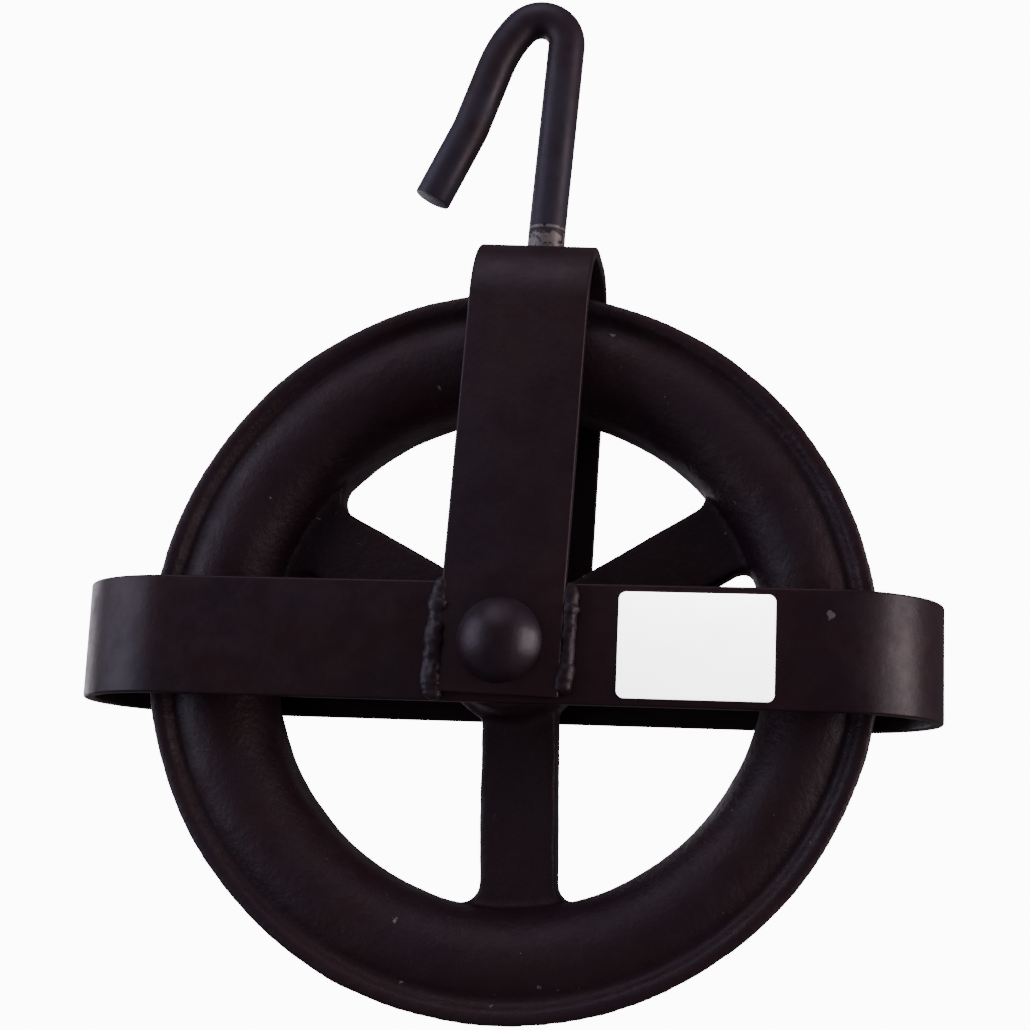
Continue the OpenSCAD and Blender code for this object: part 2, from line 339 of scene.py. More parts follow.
def modified(obj, kind, **settings):
    """Adds a modifier with its settings, and applies it."""
    modifier = obj.modifiers.new(kind.title(), kind)
    for key, value in settings.items():
        setattr(modifier, key, value)
    depsgraph = bpy.context.evaluated_depsgraph_get()
    mesh = bpy.data.meshes.new_from_object(obj.evaluated_get(depsgraph))
    obj.modifiers.clear()
    old = obj.data
    obj.data = mesh
    bpy.data.meshes.remove(old)
    mesh.name = obj.name


def lumps(name, length, depth):
    """A cloud texture whose lumps are about that long."""
    texture = bpy.data.textures.new(name, "CLOUDS")
    texture.noise_scale = length
    texture.noise_depth = depth
    return texture


def roughened(obj, texture, strength, level):
    """Moves the surface in and out by a texture. Where the texture is at the level, it stays."""
    modified(obj, "DISPLACE", texture=texture, strength=strength, mid_level=level)


def finished(obj, body, nodes, material, crease=35):
    """Shades a piece, gives it its finish, and hangs it on its body in place of its CAD nodes."""
    if not obj.data.polygons:
        raise RuntimeError(obj.name + " has no faces")
    obj.data.shade_smooth()
    obj.data.set_sharp_from_angle(angle=math.radians(crease))
    obj.data.materials.clear()
    obj.data.materials.append(material)
    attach(obj, body)
    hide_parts(*nodes)


# ---------------------------------------------------------------------------------------------------------
# Finishes
# ---------------------------------------------------------------------------------------------------------


def colour(hex_value):
    """An sRGB hex value as a linear colour."""
    parts = [int(hex_value[i:i + 2], 16) / 255 for i in (1, 3, 5)]
    return [p / 12.92 if p <= 0.04045 else ((p + 0.055) / 1.055) ** 2.4 for p in parts] + [1.0]


def add(tree, kind, inputs, **settings):
    """Adds a node with its settings, and gives each input its value or links it."""
    made = tree.nodes.new("ShaderNode" + kind)
    for key, value in settings.items():
        setattr(made, key, value)
    for key, value in inputs.items():
        if isinstance(value, bpy.types.NodeSocket):
            tree.links.new(value, made.inputs[key])
        else:
            made.inputs[key].default_value = value
    return made


def new_material(name):
    """An empty material, its tree and its Object coordinates."""
    material = bpy.data.materials.new(name)
    material.use_nodes = True
    tree = material.node_tree
    tree.nodes.clear()
    return material, tree, add(tree, "TexCoord", {}).outputs["Object"]


def per_mm(length):
    """Scale of a noise pattern whose features are that many millimetres long."""
    return 1 / (length * MM)


def grain(tree, where, length, detail=2.0, rough=0.5):
    """Noise with features of a length in millimetres."""
    return add(tree, "TexNoise", {"Vector": where, "Scale": per_mm(length), "Detail": detail,
                                  "Roughness": rough}).outputs["Fac"]


def ramp(tree, value, low, high, to_low=0.0, to_high=1.0):
    """Takes a value from one range to another, with soft ends."""
    return add(tree, "MapRange", {"Value": value, "From Min": low, "From Max": high, "To Min": to_low,
                                  "To Max": to_high}, interpolation_type="SMOOTHSTEP").outputs["Result"]


def mix_colours(tree, factor, first, second):
    """Mixes two colours. The node's inputs are numbered: 0 is the factor, and 6 and 7 are its colours."""
    return add(tree, "Mix", {0: factor, 6: first, 7: second}, data_type="RGBA").outputs[2]


def larger(tree, first, second):
    """The larger of two values."""
    return add(tree, "Math", {0: first, 1: second}, operation="MAXIMUM").outputs[0]


def times(tree, first, second):
    """The product of two values."""
    return add(tree, "Math", {0: first, 1: second}, operation="MULTIPLY").outputs[0]


def surface(tree, shader):
    add(tree, "OutputMaterial", {"Surface": shader.outputs[0]})


def enamel(name, base, thin, pit_mm, pit_depth, rough, chips=0.0, bare=None, flaked=None):
    """Satin black stoving enamel on steel or iron. It lies over the metal's grain, so the gloss is broken
    up by pits, it is browner where it is thin, and it has small chips down to rusty or bare metal.
    pit_mm and pit_depth are the pits' length and depth in millimetres, and a larger chips value gives more
    chips. bare and flaked each make a mask from the tree and the Object coordinates: bare of the places
    rubbed down to the metal, flaked of those that show the primer."""
    finishes = bpy.context.scene.pulley.finishes
    material, tree, where = new_material(name)
    patches = ramp(tree, grain(tree, where, 22, 3.0, 0.6), 0.38, 0.64)
    paint_colour = mix_colours(tree, patches, colour(base), colour(thin))
    specks = ramp(tree, grain(tree, where, 2.1, 3.0, 0.7), 0.55, 0.73, 0.0, 0.45)
    paint_colour = mix_colours(tree, specks, paint_colour, colour(finishes.rust))
    chip = ramp(tree, grain(tree, where, 3.4, 4.0, 0.65), 0.76 - chips, 0.775 - chips)
    if bare is not None:
        chip = larger(tree, chip, bare(tree, where))
    metal_tone = mix_colours(tree, ramp(tree, grain(tree, where, 1.6, 3.0), 0.34, 0.5),
                             colour(finishes.rust), colour(finishes.steel))
    skin = mix_colours(tree, chip, paint_colour, metal_tone)
    if flaked is not None:
        skin = mix_colours(tree, flaked(tree, where), skin, colour(finishes.fleck))
    smear = ramp(tree, grain(tree, where, 9, 4.0, 0.65), 0.3, 0.75, rough - 0.07, rough + 0.09)
    pits = grain(tree, where, pit_mm, 4.0, 0.62)
    sag = grain(tree, where, 11, 1.0)
    low = add(tree, "Bump", {"Height": sag, "Distance": 0.25 * MM, "Strength": 0.5})
    pitted = add(tree, "Bump", {"Height": pits, "Distance": pit_depth * MM, "Strength": 0.6,
                                "Normal": low.outputs[0]})
    edge = add(tree, "Bump", {"Height": chip, "Distance": 0.08 * MM, "Strength": 0.7,
                              "Normal": pitted.outputs[0]}, invert=True)
    shader = add(tree, "BsdfPrincipled", {"Base Color": skin, "Roughness": smear, "IOR": 1.5,
                                          "Metallic": times(tree, chip, 0.4), "Normal": edge.outputs[0]})
    surface(tree, shader)
    return material


def rubbed_band(tree, where):
    """Bare steel on the shank just above the crown, with a ragged edge to the paint and a scratch round the
    bar above it."""
    top = SWIVEL.z + bpy.context.scene.pulley.hook.bare
    ragged_by = 5.5 * MM
    scratch_z = top + 1.8 * MM
    parts = add(tree, "SeparateXYZ", {"Vector": where})
    ragged = grain(tree, where, 2.6, 3.0, 0.6)
    edge = add(tree, "Math", {0: ragged, 1: ragged_by, 2: top - ragged_by / 2},
               operation="MULTIPLY_ADD").outputs[0]
    below = add(tree, "Math", {0: edge, 1: parts.outputs["Z"]}, operation="SUBTRACT").outputs[0]
    flakes = ramp(tree, grain(tree, where, 1.7, 3.0, 0.7), 0.28, 0.4)
    off = add(tree, "Math", {0: parts.outputs["Z"], 1: -scratch_z}, operation="ADD").outputs[0]
    away = add(tree, "Math", {0: off}, operation="ABSOLUTE").outputs[0]
    scratch = ramp(tree, away, 0.2 * MM, 0.6 * MM, 1.0, 0.0)
    return times(tree, larger(tree, ramp(tree, below, -0.3 * MM, 0.3 * MM), scratch), flakes)


def near_point(point, radius):
    """Makes a mask of one chip about a point, with a ragged edge."""
    def mask(tree, where):
        away = add(tree, "VectorMath", {0: where, 1: point}, operation="DISTANCE").outputs["Value"]
        ragged = grain(tree, where, 1.4, 2.0)
        reach = add(tree, "Math", {0: ragged, 1: 1.6 * radius, 2: 0.2 * radius},
                    operation="MULTIPLY_ADD").outputs[0]
        inside = add(tree, "Math", {0: reach, 1: away}, operation="SUBTRACT").outputs[0]
        return ramp(tree, inside, -0.15 * MM, 0.15 * MM)
    return mask


def bare_metal(name, tone, rough):
    """Turned or rolled metal with no paint: faint lathe marks, duller patches and a metal's default IOR."""
    material, tree, where = new_material(name)
    around = add(tree, "VectorMath", {0: where, 1: tuple(AXLE)}, operation="SUBTRACT").outputs[0]
    marks = add(tree, "TexWave", {"Vector": around, "Scale": per_mm(3), "Distortion": 0.6, "Detail": 2.0},
                wave_type="RINGS", rings_direction="Y").outputs["Fac"]
    dull = grain(tree, where, 5, 3.0, 0.6)
    stain = mix_colours(tree, ramp(tree, dull, 0.35, 0.75, 0.0, 0.55), colour(tone),
                        colour(bpy.context.scene.pulley.finishes.rust))
    bump = add(tree, "Bump", {"Height": marks, "Distance": 0.03 * MM, "Strength": 0.4})
    shader = add(tree, "BsdfPrincipled", {"Base Color": stain, "Metallic": 1.0, "Normal": bump.outputs[0],
                                          "Roughness": ramp(tree, dull, 0.3, 0.7, rough, rough + 0.25)})
    surface(tree, shader)
    return material


def vinyl(name, tone, shade):
    """Glossy white vinyl sticker, blank: very smooth, with a faint wave where it went on by hand."""
    material, tree, where = new_material(name)
    wave = grain(tree, where, 14, 1.0)
    faint = mix_colours(tree, ramp(tree, grain(tree, where, 9, 3.0), 0.35, 0.75, 0.0, 0.35), colour(tone),
                        colour(shade))
    bump = add(tree, "Bump", {"Height": wave, "Distance": 0.2 * MM, "Strength": 0.25})
    shader = add(tree, "BsdfPrincipled", {"Base Color": faint, "Roughness": 0.28, "IOR": 1.46,
                                          "Normal": bump.outputs[0]})
    surface(tree, shader)
    return material


def studio_floor(name, tone, shade):
    """Matt pale floor paint with a barely visible mottle."""
    material, tree, where = new_material(name)
    mottle = mix_colours(tree, ramp(tree, grain(tree, where, 90, 3.0), 0.3, 0.7, 0.0, 0.4), colour(tone),
                         colour(shade))
    surface(tree, add(tree, "BsdfPrincipled", {"Base Color": mottle, "Roughness": 0.8}))
    return material


# ---------------------------------------------------------------------------------------------------------
# Pieces
# ---------------------------------------------------------------------------------------------------------


class PULLEY_OT_sheave(bpy.types.Operator):
    """Casts the wheel in one piece: rim, spokes and hub run into each other, with a sand-cast skin"""

    bl_idname = "pulley.sheave"
    bl_label = "Sheave"

    def execute(self, context):
        s = context.scene.pulley.sheave
        bm = bmesh.new()
        self.rim(bm, s)
        self.hub(bm, s)
        for i in range(s.spokes):
            self.spoke(bm, s, math.pi - s.turn + i * 2 * math.pi / s.spokes)
        bmesh.ops.recalc_face_normals(bm, faces=bm.faces)
        bmesh.ops.translate(bm, vec=AXLE, verts=bm.verts)
        wheel = raw_object("sheave_casting", bm)
        modified(wheel, "REMESH", mode="VOXEL", voxel_size=1.0 * MM)
        modified(wheel, "SMOOTH", factor=0.5, iterations=5)
        roughened(wheel, lumps("casting waves", 16 * MM, 1), 0.5 * MM, 0.6)
        roughened(wheel, lumps("sand grain", 2.4 * MM, 2), 0.22 * MM, 0.6)
        finishes = context.scene.pulley.finishes
        skin = enamel("Black enamel on sand-cast iron", finishes.enamel_cast, finishes.enamel_thin,
                      1.5, 0.4, 0.5, chips=0.06)
        finished(wheel, "sheave", ["sheave"], skin, crease=75)
        return {"FINISHED"}

    def rim(self, bm, s):
        """The rim: rounded sides that dip into a valley, a flat band round each lip, and the rope groove."""
        half = s.rim_w / 2
        bulge = (s.window_r + s.bulge_r, half - s.bulge_r)
        groove = (s.window_r + s.web + s.groove_r, 0)
        foot = s.lip_r - s.lip_w
        band = [(foot - 1.4 * MM, half - 2.6 * MM), (foot, half - 0.6 * MM), (foot + 1 * MM, half),
                (s.lip_r - 0.7 * MM, half), (s.lip_r, half - 0.7 * MM), (s.lip_r, half - 2.6 * MM),
                (s.lip_r - 1.2 * MM, half - 3.8 * MM)]
        section = arc(bulge, s.bulge_r, 180, 54, 14) + band + arc(groove, s.groove_r, 90, 180, 12)
        section[-1] = (section[-1][0], 0)
        turned(bm, mirrored(section), 192)

    def hub(self, bm, s):
        """The hub: a boss with drafted ends and a collar where the spokes run in."""
        half = s.hub_l / 2
        collar = s.hub_r + 2 * MM
        section = [(s.bore_r, half), (s.hub_r - 1.6 * MM, half), (s.hub_r - 0.5 * MM, half - 1.2 * MM),
                   (s.hub_r, s.spoke_t / 2 + 3 * MM), (collar, s.spoke_t / 2)]
        turned(bm, mirrored(section), 96)

    def spoke(self, bm, s, direction):
        """One spoke: a flat bar of the casting with rounded edges, which widens in fillets at the rim. It
        starts inside the hub and ends buried in the rim."""
        side = s.spoke_w / 2
        fillet_x = side + s.fillet_r
        fillet_z = math.sqrt((s.window_r - s.fillet_r) ** 2 - fillet_x ** 2)
        contact = math.degrees(math.atan2(fillet_z, fillet_x))
        buried = s.window_r + 3 * MM
        root = 12 * MM
        half = [(root, side)]
        half += [(z, x) for x, z in arc((fillet_x, fillet_z), s.fillet_r, 180, contact, 8)]
        half += [(buried, half[-1][1])]
        before = set(bm.faces)
        face = outline_face(bm, mirrored(half), lambda z, x: Vector((x, -s.spoke_t / 2, z)))
        made = bmesh.ops.extrude_face_region(bm, geom=[face])["geom"]
        bmesh.ops.translate(bm, vec=(0, s.spoke_t, 0), verts=verts_of(made))
        faces = [f for f in bm.faces if f not in before]
        rims = [e for f in faces if len(f.verts) > 4 for e in f.edges]
        bmesh.ops.bevel(bm, geom=rims, offset=2.4 * MM, offset_type="OFFSET", segments=4, profile=0.5,
                        affect="EDGES", clamp_overlap=True, material=-1)
        corners = list({v for f in bm.faces if f not in before for v in f.verts})
        bmesh.ops.rotate(bm, cent=(0, 0, 0), matrix=Matrix.Rotation(direction, 3, "Y"), verts=corners)
        bmesh.ops.translate(bm, vec=(s.core_shift, 0, 0), verts=corners)


class PULLEY_OT_hook(bpy.types.Operator):
    """Bends the hook from one round bar: upset end, leaning shank, tight bend and a tip cut square"""

    bl_idname = "pulley.hook"
    bl_label = "Hook"

    def execute(self, context):
        s = context.scene.pulley.hook
        into_end = 1 * MM
        start = Vector((SWIVEL.x, 0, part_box("swivel_washer")[0].z - into_end))
        bm = bmesh.new()
        moves = [(SWIVEL.z + s.lean_start - start.z,), (s.lean_r, -s.lean), (s.shank,), (s.bend_r, s.bend),
                 (s.slack_r, s.slack), (s.leg,), (s.flare_r, -s.flare), (s.tip,)]
        ends = swept(bm, round_ring(bm, s.rod_d / 2, 40), start, (0, 0, 1), FRONT_TURN, moves)
        capped(bm, ends, 0.7 * MM)
        rod = raw_object("hook_bar", bm)
        roughened(rod, lumps("bar waves", 9 * MM, 1), 0.16 * MM, 0.7)
        finishes = context.scene.pulley.finishes
        # The hook's base colour is the lighter, bluer enamel, a painted highlight for the light the round bar
        # catches, mottled with the cast enamel.
        skin = enamel("Black enamel on round bar, painted highlight tone", finishes.enamel_round_painted_highlight, finishes.enamel_cast,
                      2.2, 0.1, 0.5, chips=-0.02, bare=rubbed_band)
        finished(rod, "hook", ["hook"], skin)
        self.upset_end(context, skin)
        return {"FINISHED"}

    def upset_end(self, context, skin):
        """The end of the shank, hammered out under the washer."""
        washer_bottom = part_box("swivel_washer")[0].z
        bm = bmesh.new()
        half_w = 8 * MM
        height = 4.4 * MM
        ball = (half_w ** 2 + height ** 2) / (2 * height)
        reach = math.degrees(math.asin(half_w / ball))
        section = [(0, 0), (half_w - 0.4 * MM, 0)]
        section += [(r, z + ball - height) for r, z in arc((0, 0), ball, -90 + reach, -90, 8)]
        dome = outline_face(bm, section, lambda r, z: Vector((r, z, 0)))
        ring = list(dome.edges) + list(dome.verts)
        bmesh.ops.delete(bm, geom=[dome], context="FACES_ONLY")
        bmesh.ops.spin(bm, geom=ring, cent=(0, 0, 0), axis=(0, 1, 0), angle=2 * math.pi, steps=48,
                       use_merge=True, use_duplicate=False)
        closed(bm)
        bmesh.ops.rotate(bm, cent=(0, 0, 0), matrix=Matrix.Rotation(math.pi / 2, 3, "X"), verts=bm.verts)
        bmesh.ops.translate(bm, vec=(SWIVEL.x, 0, washer_bottom), verts=bm.verts)
        knob = raw_object("hook_upset_end", bm)
        roughened(knob, lumps("hammer marks", 4 * MM, 0), 0.5 * MM, 0.9)
        finished(knob, "hook", ["hook"], skin)


class PULLEY_OT_yoke(bpy.types.Operator):
    """Bends the yoke from one flat bar and drills its crown for the shank"""

    bl_idname = "pulley.yoke"
    bl_label = "Yoke"

    def execute(self, context):
        s = context.scene.pulley.bars
        low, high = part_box("yoke")
        leg = s.yoke_d / 2 - s.thick / 2
        top = high.z - AXLE.z - s.thick / 2
        slope = math.atan((s.yoke_d - s.crown_d) / 2 / (top + s.thick / 2 - s.crown_r - s.knee))
        knee_r = 20 * MM
        knee_t = knee_r * math.tan(slope / 2)
        bend_r = s.crown_r - s.thick / 2
        bend = math.pi / 2 - slope
        bend_t = bend_r * math.tan(bend / 2)
        rise = (top - s.knee) / math.cos(slope) - bend_t - knee_t
        flat = 2 * (leg - math.tan(slope) * (top - s.knee) - bend_t)
        straight = s.knee + AXLE.z - low.z - knee_t
        moves = [(straight,), (knee_r, slope), (rise,), (bend_r, bend), (flat,), (bend_r, bend), (rise,),
                 (knee_r, slope), (straight,)]
        bm = bmesh.new()
        ring = flat_ring(bm, s.thick, s.yoke_w, s.edge_r)
        start = Vector((AXLE.x, -leg, low.z))
        capped(bm, swept(bm, ring, start, (0, 0, 1), SIDE_TURN, moves), 0.9 * MM)
        bar = raw_object("yoke_bar", bm)
        self.drill(bar, context.scene.pulley.hook.rod_d / 2 + 0.35 * MM)
        finishes = context.scene.pulley.finishes
        skin = enamel("Black enamel on flat bar", finishes.enamel, finishes.enamel_thin,
                      1.8, 0.16, 0.46, chips=-0.01)
        finished(bar, "frame", ["yoke"], skin)
        return {"FINISHED"}

    def drill(self, bar, radius):
        """Cuts the hole in the crown."""
        bm = bmesh.new()
        bmesh.ops.create_cone(bm, cap_ends=True, segments=64, radius1=radius, radius2=radius, depth=16 * MM,
                              matrix=Matrix.Translation(SWIVEL))
        drill = raw_object("drill", bm)
        modified(bar, "BOOLEAN", operation="DIFFERENCE", solver="EXACT", object=drill)
        bpy.data.objects.remove(drill)


class PULLEY_OT_guard(bpy.types.Operator):
    """Bends the guard band from one flat bar, as a long loop with round ends"""

    bl_idname = "pulley.guard"
    bl_label = "Guard band"

    def execute(self, context):
        s = context.scene.pulley.bars
        straight = s.guard_l - s.guard_d
        end_r = (s.guard_d - s.thick) / 2
        bm = bmesh.new()
        ring = flat_ring(bm, s.thick, s.guard_h, s.edge_r)
        moves = [(straight,), (end_r, math.pi), (straight,), (end_r, math.pi)]
        swept(bm, ring, (-straight / 2, -end_r, 0), (1, 0, 0), TOP_TURN, moves)
        closed(bm)
        bmesh.ops.transform(bm, matrix=guard_place(s), verts=bm.verts)
        band = raw_object("guard_band_bar", bm)
        finishes = context.scene.pulley.finishes
        chip_x, chip_z = 89.4 * MM, 9.3 * MM
        chip_at = guard_place(s) @ Vector((chip_x, -s.guard_d / 2, chip_z))
        skin = enamel("Black enamel on guard band", finishes.enamel, finishes.enamel_thin,
                      2.4, 0.12, 0.42, chips=-0.02, flaked=near_point(chip_at, 1.2 * MM))
        finished(band, "frame", ["guard_band"], skin)
        return {"FINISHED"}


def guard_place(s):
    """Where the guard band lies: shifted along X and tilted about the axle."""
    return (Matrix.Translation(AXLE) @ Matrix.Rotation(-s.tilt, 4, "Y")
            @ Matrix.Translation((s.shift, 0, 0)))


class PULLEY_OT_welds(bpy.types.Operator):
    """Lays the four rippled fillet beads down the edges of the legs, each a little different"""

    bl_idname = "pulley.welds"
    bl_label = "Welds"

    def execute(self, context):
        """Each row is a bead: its side in X and in Y, its width and its foot's as shares of the bead's
        radius, and its path as (sideways, up) in millimetres from the axle."""
        s = context.scene.pulley.bars
        finishes = context.scene.pulley.finishes
        # The beads' base colour is the lighter, greyer enamel, a painted highlight mottled with the plain
        # enamel.
        skin = enamel("Black enamel on weld bead, painted highlight tone", finishes.enamel_rivet_painted_highlight, finishes.enamel,
                      2.4, 0.3, 0.52, chips=-0.02)
        depth = s.guard_d / 2 + 1.2 * MM
        for name, x_side, y_side, width, foot, path in (
            ("weld_front_left", -1, -1, 1.1, 1.35,
             ((16.2, 17), (17.4, 9), (17.4, -2), (17.8, -11), (17.0, -17))),
            ("weld_front_right", 1, -1, 0.95, 1.15, ((17.6, 17), (18.2, 8), (18.0, -3), (17.4, -14))),
            ("weld_back_left", -1, 1, 0.9, 1.2, ((17.8, 15), (17.6, 3), (17.9, -7), (17.4, -15))),
            ("weld_back_right", 1, 1, 0.85, 1.3, ((17.4, 16), (17.9, 4), (17.5, -6), (17.8, -15))),
        ):
            points = [Vector((x_side * x * MM, y_side * depth, z * MM)) + AXLE for x, z in path]
            bead = self.bead(name, points, s, width, foot)
            finished(bead, "frame", [name], skin, crease=60)
        return {"FINISHED"}

    def bead(self, name, points, s, width, foot):
        """One bead along a path: a round section that swells and shrinks at each ripple, and grows to the
        width of its foot over the last stretch."""
        rng = random.Random(name)
        foot_from = 0.62
        bm = bmesh.new()
        ring = round_ring(bm, s.bead_r, 20)
        corners = list({v for e in ring for v in e.verts})
        length = sum((b - a).length for a, b in zip(points, points[1:]))
        per_ripple = 4
        steps = round(length / s.ripple) * per_ripple
        swells = [rng.uniform(0.86, 1.14) for i in range(steps // per_ripple + 2)]
        first = ring
        shape = [(v, v.co.copy()) for v in corners]
        for i in range(steps + 1):
            t = i / steps
            ripple, phase = divmod(i, per_ripple)
            swell = swells[ripple] * (0.94 + 0.07 * math.sin(math.pi * (phase + 0.5) / per_ripple))
            taper = math.sqrt(max(0.02, 1 - (2 * t - 1) ** 8))
            grown = width + (foot - width) * max(0.0, t - foot_from) / (1 - foot_from)
            centre = self.along(points, t)
            for v, flat in shape:
                v.co = centre + flat * swell * taper * grown
            if i < steps:
                made = bmesh.ops.extrude_edge_only(bm, edges=ring)["geom"]
                fresh = verts_of(made)
                nearest = {tuple(round(c, 7) for c in v.co): flat for v, flat in shape}
                shape = [(v, nearest[tuple(round(c, 7) for c in v.co)]) for v in fresh]
                inside = set(fresh)
                ring = [e for e in edges_of(made) if inside.issuperset(e.verts)]
        for end in (first, ring):
            bmesh.ops.edgeloop_fill(bm, edges=end)
        closed(bm)
        bead = raw_object(name + "_bead", bm)
        modified(bead, "SUBSURF", levels=1, render_levels=1)
        roughened(bead, lumps(name + " slag", 3.5 * MM, 1), 1 * MM, 0.6)
        return bead

    def along(self, points, t):
        """The point at share t of a path."""
        place = t * (len(points) - 1)
        i = min(int(place), len(points) - 2)
        return points[i].lerp(points[i + 1], place - i)


class PULLEY_OT_rivet(bpy.types.Operator):
    """Turns the axle rivet: button head, shank and the head formed over at the back"""

    bl_idname = "pulley.rivet"
    bl_label = "Rivet"

    def execute(self, context):
        s = context.scene.pulley.axle
        low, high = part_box("axle_rivet")
        front = low.y + s.head_h
        back = high.y - s.peen_h
        section = self.head(s.head_d, s.head_h, front, -1)
        section += reversed(self.head(s.peen_d, s.peen_h, back, 1))
        shank = s.rivet_d / 2
        middle = len(section) // 2
        section[middle:middle] = [(shank, front), (shank, back)]
        bm = bmesh.new()
        turned(bm, section, 96)
        closed(bm)
        bmesh.ops.translate(bm, vec=(AXLE.x, 0, AXLE.z), verts=bm.verts)
        rivet = raw_object("axle_rivet_heads", bm)
        finishes = context.scene.pulley.finishes
        # The rivet's base colour is the lighter, greyer enamel, a painted highlight for the light its dome
        # catches.
        skin = enamel("Black enamel on rivet, painted highlight tone", finishes.enamel_rivet_painted_highlight, finishes.enamel_cast,
                      1.6, 0.12, 0.42, chips=-0.03)
        finished(rivet, "frame", ["axle_rivet"], skin)
        return {"FINISHED"}

    def head(self, diameter, height, base, side):
        """Section of a domed head from its top on the axis to the corner under its edge."""
        ball = (diameter ** 2 / 4 + height ** 2) / (2 * height)
        reach = math.degrees(math.asin(diameter / 2 / ball))
        top = base + side * height
        points = arc((0, 0), ball, 90, 90 - reach + 3, 12)
        dome = [(max(r, 0.0), top + side * (z - ball)) for r, z in points]
        dome[0] = (0.0, top)
        return dome + [(diameter / 2 - 0.25 * MM, base)]


class PULLEY_OT_washers(bpy.types.Operator):
    """Makes the washers and the bush, each a ring with broken edges"""

    bl_idname = "pulley.washers"
    bl_label = "Washers and bush"

    def execute(self, context):
        finishes = context.scene.pulley.finishes
        steel = bare_metal("Bare mild steel", finishes.steel, 0.35)
        bronze = bare_metal("Bearing bronze", finishes.bronze, 0.3)
        black = enamel("Black enamel on washer", finishes.enamel, finishes.enamel_thin,
                       1.8, 0.14, 0.38)
        rod = context.scene.pulley.hook.rod_d / 2
        rivet = context.scene.pulley.axle.rivet_d / 2
        gap = 0.1 * MM
        for name, body, slot, hole, material in (
            ("swivel_washer", "hook", "bare_steel", rod, steel),
            ("peen_washer", "frame", "painted_bar", rivet, black),
            ("thrust_washer_front", "frame", "bare_steel", rivet + gap, steel),
            ("thrust_washer_back", "frame", "bare_steel", rivet + gap, steel),
            ("hub_bush", "sheave", "bush_bronze", rivet + gap, bronze),
        ):
            finished(self.ring(name, hole), body, [name], material)
        return {"FINISHED"}

    def ring(self, name, hole):
        """A ring that fills its CAD node, about the axle or, for the swivel washer, about the shank."""
        low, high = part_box(name)
        upright = name == "swivel_washer"
        axis = 2 if upright else 1
        half = (high[axis] - low[axis]) / 2
        outer = (high.x - low.x) / 2
        edge = 0.35 * MM
        section = [(hole, half - edge), (hole + edge, half), (outer - edge, half), (outer, half - edge)]
        bm = bmesh.new()
        turned(bm, mirrored(section), 72)
        closed(bm)
        if upright:
            bmesh.ops.rotate(bm, cent=(0, 0, 0), matrix=Matrix.Rotation(math.pi / 2, 3, "X"), verts=bm.verts)
        bmesh.ops.translate(bm, vec=(low + high) / 2, verts=bm.verts)
        return raw_object(name + "_ring", bm)


class PULLEY_OT_label(bpy.types.Operator):
    """Sticks the blank white label on the front of the band"""

    bl_idname = "pulley.label"
    bl_label = "Label"

    def execute(self, context):
        bars = context.scene.pulley.bars
        s = context.scene.pulley.axle
        thick = 0.3 * MM
        bm = bmesh.new()
        made = bmesh.ops.create_grid(bm, x_segments=1, y_segments=1, size=0.5)
        bmesh.ops.scale(bm, vec=(s.label_w, s.label_h, 1), verts=made["verts"])
        bmesh.ops.bevel(bm, geom=made["verts"], offset=2 * MM, offset_type="OFFSET", segments=8, profile=0.5,
                        affect="VERTICES", material=-1)
        made = bmesh.ops.extrude_face_region(bm, geom=list(bm.faces))["geom"]
        bmesh.ops.translate(bm, vec=(0, 0, thick), verts=verts_of(made))
        bmesh.ops.recalc_face_normals(bm, faces=bm.faces)
        rims = [e for e in bm.edges if all(v.co.z > thick / 2 for v in e.verts)]
        bmesh.ops.bevel(bm, geom=rims, offset=0.1 * MM, offset_type="OFFSET", segments=2, profile=0.5,
                        affect="EDGES", material=-1)
        upright = Matrix.Translation((s.label_x, -bars.guard_d / 2, 0)) @ Matrix.Rotation(math.pi / 2, 4, "X")
        bmesh.ops.transform(bm, matrix=guard_place(bars) @ upright, verts=bm.verts)
        sticker = raw_object("label_sticker", bm)
        finishes = context.scene.pulley.finishes
        skin = vinyl("White vinyl", finishes.label, finishes.label_shade)
        finished(sticker, "frame", ["label"], skin)
        return {"FINISHED"}


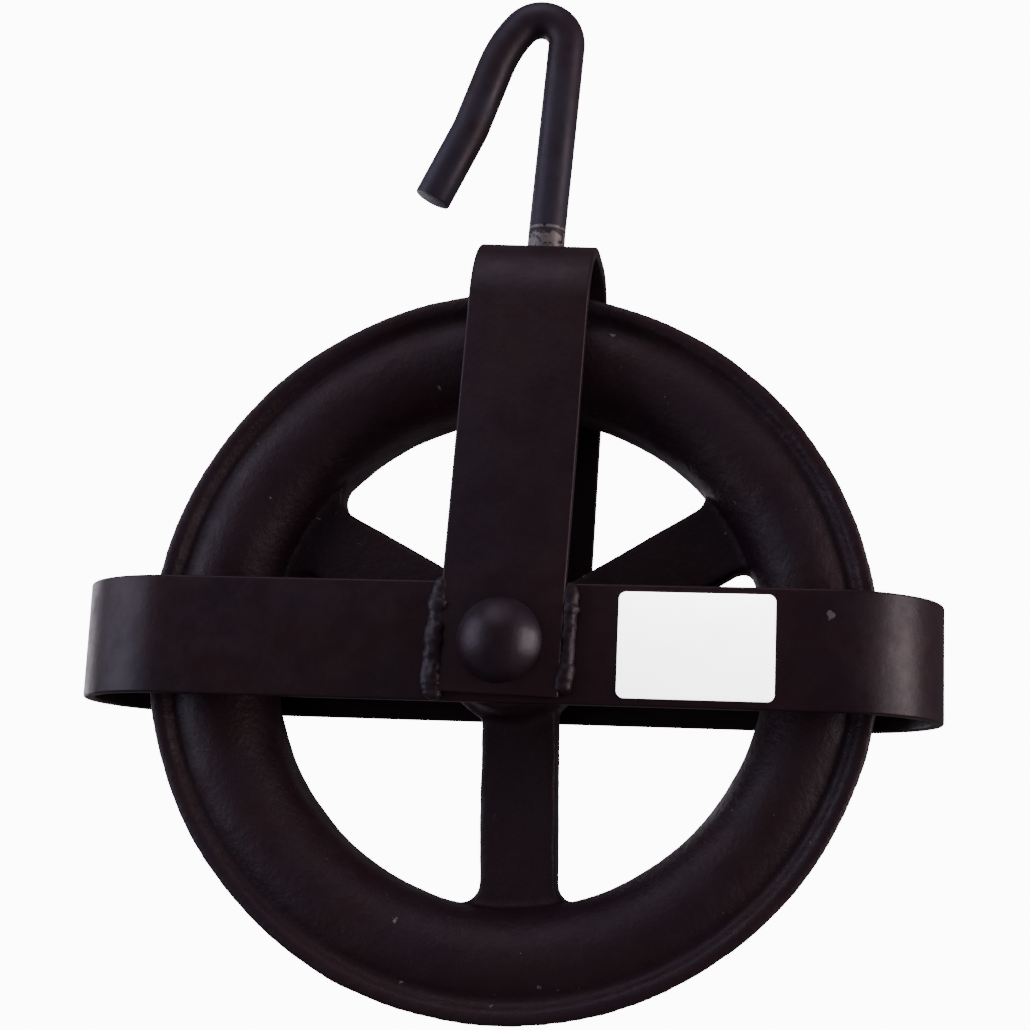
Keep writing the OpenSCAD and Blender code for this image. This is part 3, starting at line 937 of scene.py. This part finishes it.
class PULLEY_OT_stage(bpy.types.Operator):
    """Sets up the pale floor, the soft lights, the plain backdrop and the camera"""

    bl_idname = "pulley.stage"
    bl_label = "Stage"

    def execute(self, context):
        s = context.scene.pulley.stage
        self.floor(context, s)
        self.backdrop(context, s)
        self.light("left light", s.left_power, (-1.15, -0.42, 0.2), (1.0, 1.3), (0.8, 0.76, 1.0))
        self.light("right light", s.right_power, (1.15, -0.3, 0.1), (0.6, 1.0), (1.0, 0.82, 0.86))
        self.light("top light", s.top_power, (-0.2, -0.5, 1.1), (0.9, 0.9), (0.96, 0.84, 1.0))
        self.light("back light", s.back_power, (-1.0, 1.0, 0.1), (0.9, 0.9), (0.96, 0.9, 1.0))
        self.pale_light(context, s)
        self.camera(context, s)
        return {"FINISHED"}

    def floor(self, context, s):
        bm = bmesh.new()
        bmesh.ops.create_grid(bm, x_segments=1, y_segments=1, size=3)
        bmesh.ops.translate(bm, vec=(0, 0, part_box("sheave")[0].z - s.drop), verts=bm.verts)
        floor = raw_object("studio_floor", bm)
        finishes = context.scene.pulley.finishes
        paint_coat = studio_floor("Matt floor paint", finishes.floor, finishes.floor_shade)
        floor.data.materials.append(paint_coat)
        floor.visible_diffuse = False
        floor.visible_glossy = False

    def backdrop(self, context, s):
        """An even white backdrop, and a dimmer even light that falls on the object from all round."""
        world = bpy.data.worlds.new("studio")
        world.use_nodes = True
        tree = world.node_tree
        tree.nodes.clear()
        seen = add(tree, "Background", {"Color": (1, 1, 1, 1), "Strength": s.white})
        fill = add(tree, "Background", {"Color": (0.98, 0.84, 0.96, 1), "Strength": s.fill})
        path = add(tree, "LightPath", {})
        both = add(tree, "MixShader", {0: path.outputs["Is Camera Ray"], 1: fill.outputs[0],
                                       2: seen.outputs[0]})
        add(tree, "OutputWorld", {"Surface": both.outputs[0]})
        context.scene.world = world

    def pale_light(self, context, s):
        """A strong light that falls on the floor and the white label only, as a flag over the wheel would
        make it do, so that they look white beside the black enamel. Nothing casts a shadow from it."""
        lamp = bpy.data.lights.new("pale light", "SUN")
        lamp.energy = s.sun
        made = bpy.data.objects.new("pale light", lamp)
        made.rotation_euler = (math.radians(45), 0, 0)
        lit = bpy.data.collections.new("lit by the pale light")
        for name in ("studio_floor", "label_sticker"):
            lit.objects.link(bpy.data.objects[name])
        made.light_linking.receiver_collection = lit
        made.light_linking.blocker_collection = bpy.data.collections.new("shades the pale light")
        context.scene.collection.objects.link(made)

    def light(self, name, power, place, sides, tone):
        """A soft light that faces the axle from a place seen from it."""
        lamp = bpy.data.lights.new(name, "AREA")
        lamp.energy = power
        lamp.shape = "RECTANGLE"
        lamp.size, lamp.size_y = sides
        lamp.color = tone
        made = bpy.data.objects.new(name, lamp)
        made.location = AXLE + Vector(place)
        made.rotation_euler = (-Vector(place)).to_track_quat("-Z", "Y").to_euler()
        bpy.context.scene.collection.objects.link(made)

    def camera(self, context, s):
        camera = bpy.data.cameras.new("camera")
        camera.lens = s.lens
        camera.sensor_width = 36
        made = bpy.data.objects.new("camera", camera)
        at = AXLE + Vector(s.camera_at)
        ahead = (AXLE + Vector(s.aim_at) - at).normalized()
        right = ahead.cross(Vector((0, 0, 1))).normalized()
        turn = Matrix.Rotation(s.roll, 3, -ahead)
        right = turn @ right
        up = right.cross(ahead)
        made.matrix_world = Matrix.Translation(at) @ Matrix((right, up, -ahead)).transposed().to_4x4()
        context.scene.collection.objects.link(made)
        context.scene.camera = made


class PULLEY_PT_panel(bpy.types.Panel):
    """Lists the pieces of the sheave block"""

    bl_idname = "PULLEY_PT_panel"
    bl_label = "Sheave block"
    bl_space_type = "VIEW_3D"
    bl_region_type = "UI"
    bl_category = "Sheave Block"

    def draw(self, context):
        for operator in OPERATORS:
            self.layout.operator(operator.bl_idname)
        for name in ("sheave", "bars", "hook", "axle", "finishes", "stage"):
            group = getattr(context.scene.pulley, name)
            box = self.layout.box()
            box.label(text=name.title())
            for key in group.__annotations__:
                box.prop(group, key)


OPERATORS = (PULLEY_OT_sheave, PULLEY_OT_hook, PULLEY_OT_yoke, PULLEY_OT_guard, PULLEY_OT_welds,
             PULLEY_OT_rivet, PULLEY_OT_washers, PULLEY_OT_label, PULLEY_OT_stage)
CLASSES = (SheaveSizes, BarSizes, HookSizes, AxleSizes, Finishes, StageSettings, PulleySettings,
           *OPERATORS, PULLEY_PT_panel)


def register():
    for cls in CLASSES:
        bpy.utils.register_class(cls)
    bpy.types.Scene.pulley = PointerProperty(type=PulleySettings)


def unregister():
    del bpy.types.Scene.pulley
    for cls in reversed(CLASSES):
        bpy.utils.unregister_class(cls)


def main():
    register()
    for operator in OPERATORS:
        getattr(bpy.ops.pulley, operator.bl_idname.split(".")[1])()


if __name__ == "__main__":
    main()
